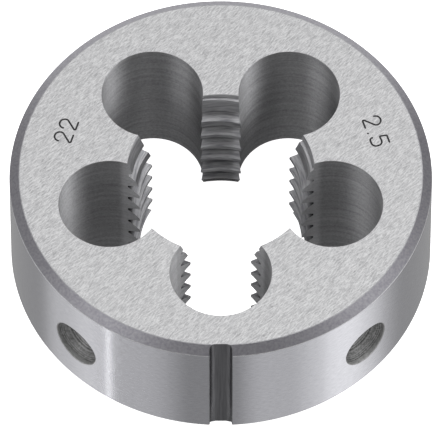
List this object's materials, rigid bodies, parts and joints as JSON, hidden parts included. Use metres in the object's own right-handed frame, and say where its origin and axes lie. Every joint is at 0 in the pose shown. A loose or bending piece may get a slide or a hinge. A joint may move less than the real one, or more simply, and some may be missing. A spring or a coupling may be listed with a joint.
{
  "type": "threading die",
  "caption": "Solid round die for cutting an outside thread: a ground steel disc whose threaded bore breaks into clearance holes, with countersunk dimples and a key groove in the rim.",
  "frame": {"origin": "on the thread axis, in the plane of the back face that the die lies on", "axes": "+Z along the thread axis towards the starting face with the long tapered lead, -Y towards the key groove in the rim, +X to the right of it"},
  "size_m": [0.05, 0.05, 0.019],
  "materials": {
    "ground_tool_steel": "hardened tool steel, faces and rim ground, holes and thread as cut"
  },
  "bodies": {
    "root": {"die_body": "ground_tool_steel"}
  },
  "joints": []
}
